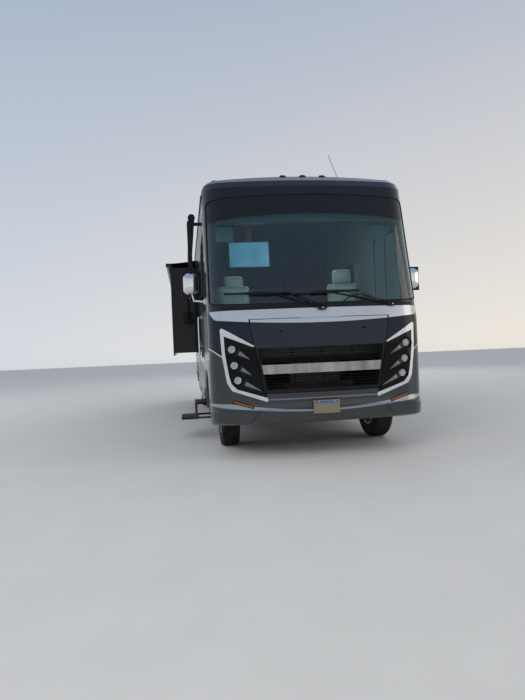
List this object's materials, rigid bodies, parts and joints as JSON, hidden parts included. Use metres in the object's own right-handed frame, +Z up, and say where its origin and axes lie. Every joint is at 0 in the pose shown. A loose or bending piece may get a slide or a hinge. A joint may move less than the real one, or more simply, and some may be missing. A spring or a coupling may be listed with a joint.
{
  "type": "motorhome",
  "caption": "Long coach-bodied motorhome on a ladder chassis, with slide-out rooms, an entry door with folding steps, baggage doors and a lifting hood.",
  "frame": {"origin": "on the ground under the middle of the vehicle", "axes": "+Z up, the front faces -Y, +X is the driver's side"},
  "size_m": [3.7, 9.3698, 3.701],
  "materials": {
    "upper_paint": "deep gloss, navy black",
    "side_paint": "deep gloss black",
    "nose_paint": "deep gloss charcoal",
    "bumper_paint": "gloss metallic grey",
    "hood_paint": "deep gloss charcoal",
    "roof_skin": "satin",
    "grille_black": "satin black",
    "lamp_glass": "clear lens over a bright bowl",
    "trim_silver": "gloss silver white",
    "amber_lens": "clear amber",
    "red_lens": "clear red",
    "tinted_glass": "green tint",
    "underbody": "satin dark grey",
    "chassis_black": "satin black",
    "axle_iron": "painted black",
    "engine_iron": "dull grey",
    "rim_bright": "polished",
    "tyre_black": "matt",
    "tank_black": "matt black",
    "exhaust_steel": "dull",
    "topper_fabric": "woven vinyl",
    "awning_black": "satin black",
    "mirror_bright": "bright",
    "wiper_black": "satin black",
    "unit_plastic": "satin",
    "ladder_bright": "satin",
    "dash_plastic": "grained",
    "seat_leather": "soft, pale",
    "seat_steel": "satin",
    "cabinet_wood": "gloss varnish",
    "step_steel": "satin black"
  },
  "bodies": {
    "coach": {"amber_lamps": "amber_lens", "awning": "awning_black", "axles": "axle_iron", "baggage_bays": "underbody", "bumper": "bumper_paint", "chassis_frame": "chassis_black", "dashboard": "dash_plastic", "driveline": "engine_iron", "exhaust": "exhaust_steel", "floor": "underbody", "front_cap": "upper_paint", "front_mask": "nose_paint", "fuel_tank": "tank_black", "headlamps": "lamp_glass", "housings": "underbody", "ladder": "ladder_bright", "lamp_trims": "trim_silver", "leaf_springs": "chassis_black", "mirrors": "mirror_bright", "overhead_cabinet": "cabinet_wood", "rear_cap": "side_paint", "red_lamps": "red_lens", "roof": "roof_skin", "roof_units": "unit_plastic", "seat_bases": "seat_steel", "seats": "seat_leather", "side_glass": "tinted_glass", "side_walls": "side_paint", "topper_left": "topper_fabric", "topper_right": "topper_fabric", "windshield": "tinted_glass", "wipers": "wiper_black"},
    "knuckle_left": {"knuckle_left": "axle_iron"},
    "knuckle_right": {"knuckle_right": "axle_iron"},
    "tie_rod": {"tie_rod": "axle_iron"},
    "wheel_front_left": {"rim_front_left": "rim_bright", "tyre_front_left": "tyre_black"},
    "wheel_front_right": {"rim_front_right": "rim_bright", "tyre_front_right": "tyre_black"},
    "wheel_rear_left": {"rim_rear_left": "rim_bright", "tyre_rear_left": "tyre_black"},
    "wheel_rear_right": {"rim_rear_right": "rim_bright", "tyre_rear_right": "tyre_black"},
    "door": {"entry_door": "side_paint", "entry_door_glass": "tinted_glass"},
    "step_outer": {"step_link_outer": "step_steel"},
    "step_inner": {"step_link_inner": "step_steel"},
    "steps": {"step_treads": "step_steel"},
    "slide_room_left": {"slide_left": "side_paint", "slide_glass_left": "tinted_glass"},
    "slide_room_right": {"slide_right": "side_paint", "slide_glass_right": "tinted_glass"},
    "hood_hatch": {"hood": "hood_paint", "grille": "grille_black"},
    "bay_left_front": {"bay_door_left_front": "side_paint"},
    "bay_left_middle": {"bay_door_left_middle": "side_paint"},
    "bay_left_rear": {"bay_door_left_rear": "side_paint"},
    "bay_right_front": {"bay_door_right_front": "side_paint"},
    "bay_right_middle": {"bay_door_right_middle": "side_paint"},
    "bay_right_rear": {"bay_door_right_rear": "side_paint"}
  },
  "joints": [
    {"name": "steer_left", "type": "hinge", "parent": "coach", "child": "knuckle_left", "pos_m": [0.86, -3.356, 0.47], "axis": [0, 0, 1], "range_deg": [-45, 45]},
    {"name": "steer_right", "type": "hinge", "parent": "coach", "child": "knuckle_right", "pos_m": [-0.86, -3.356, 0.47], "axis": [0, 0, 1], "range_deg": [-45, 45]},
    {"name": "tie_rod_pivot", "type": "hinge", "parent": "knuckle_left", "child": "tie_rod", "pos_m": [0.86, -3.156, 0.37], "axis": [0, 0, 1], "range_deg": [-45, 45]},
    {"name": "spin_front_left", "type": "hinge", "parent": "knuckle_left", "child": "wheel_front_left", "pos_m": [1.012, -3.356, 0.47], "axis": [1, 0, 0], "continuous": true},
    {"name": "spin_front_right", "type": "hinge", "parent": "knuckle_right", "child": "wheel_front_right", "pos_m": [-1.012, -3.356, 0.47], "axis": [1, 0, 0], "continuous": true},
    {"name": "spin_rear_left", "type": "hinge", "parent": "coach", "child": "wheel_rear_left", "pos_m": [0.938, 2.434, 0.47], "axis": [1, 0, 0], "continuous": true},
    {"name": "spin_rear_right", "type": "hinge", "parent": "coach", "child": "wheel_rear_right", "pos_m": [-0.938, 2.434, 0.47], "axis": [1, 0, 0], "continuous": true},
    {"name": "door_swing", "type": "hinge", "parent": "coach", "child": "door", "pos_m": [-1.275, -2.71, 1.68], "axis": [0, 0, 1], "range_deg": [0, 95]},
    {"name": "step_fold", "type": "hinge", "parent": "coach", "child": "step_outer", "pos_m": [-1, -2.38, 0.615], "axis": [0, -1, 0], "range_deg": [0, 129]},
    {"name": "step_fold_inner", "type": "hinge", "parent": "coach", "child": "step_inner", "pos_m": [-0.87, -2.38, 0.615], "axis": [0, -1, 0], "range_deg": [0, 129]},
    {"name": "step_level", "type": "hinge", "parent": "step_outer", "child": "steps", "pos_m": [-1.218, -2.38, 0.511], "axis": [0, -1, 0], "range_deg": [-129, 0]},
    {"name": "slide_left_travel", "type": "slide", "parent": "coach", "child": "slide_room_left", "axis": [1, 0, 0], "range_m": [-0.46, 0], "deforming": ["topper_left"]},
    {"name": "slide_right_travel", "type": "slide", "parent": "coach", "child": "slide_room_right", "axis": [-1, 0, 0], "range_m": [-0.46, 0], "deforming": ["topper_right"]},
    {"name": "hood_lift", "type": "hinge", "parent": "coach", "child": "hood_hatch", "pos_m": [0, -4.6405, 1.595], "axis": [-1, 0, 0], "range_deg": [0, 75]},
    {"name": "bay_left_front_lift", "type": "hinge", "parent": "coach", "child": "bay_left_front", "pos_m": [1.275, -1.16, 0.98], "axis": [0, -1, 0], "range_deg": [0, 90]},
    {"name": "bay_left_middle_lift", "type": "hinge", "parent": "coach", "child": "bay_left_middle", "pos_m": [1.275, 0.79, 0.98], "axis": [0, -1, 0], "range_deg": [0, 90]},
    {"name": "bay_left_rear_lift", "type": "hinge", "parent": "coach", "child": "bay_left_rear", "pos_m": [1.275, 3.715, 0.98], "axis": [0, -1, 0], "range_deg": [0, 90]},
    {"name": "bay_right_front_lift", "type": "hinge", "parent": "coach", "child": "bay_right_front", "pos_m": [-1.275, -1.01, 0.98], "axis": [0, 1, 0], "range_deg": [0, 90]},
    {"name": "bay_right_middle_lift", "type": "hinge", "parent": "coach", "child": "bay_right_middle", "pos_m": [-1.275, 0.79, 0.98], "axis": [0, 1, 0], "range_deg": [0, 90]},
    {"name": "bay_right_rear_lift", "type": "hinge", "parent": "coach", "child": "bay_right_rear", "pos_m": [-1.275, 3.715, 0.98], "axis": [0, 1, 0], "range_deg": [0, 90]}
  ],
  "couplings": [
    {"joint": "steer_right", "follows": "steer_left", "ratio": 1},
    {"joint": "tie_rod_pivot", "follows": "steer_left", "ratio": -1},
    {"joint": "step_fold_inner", "follows": "step_fold", "ratio": 1},
    {"joint": "step_level", "follows": "step_fold", "ratio": -1}
  ]
}
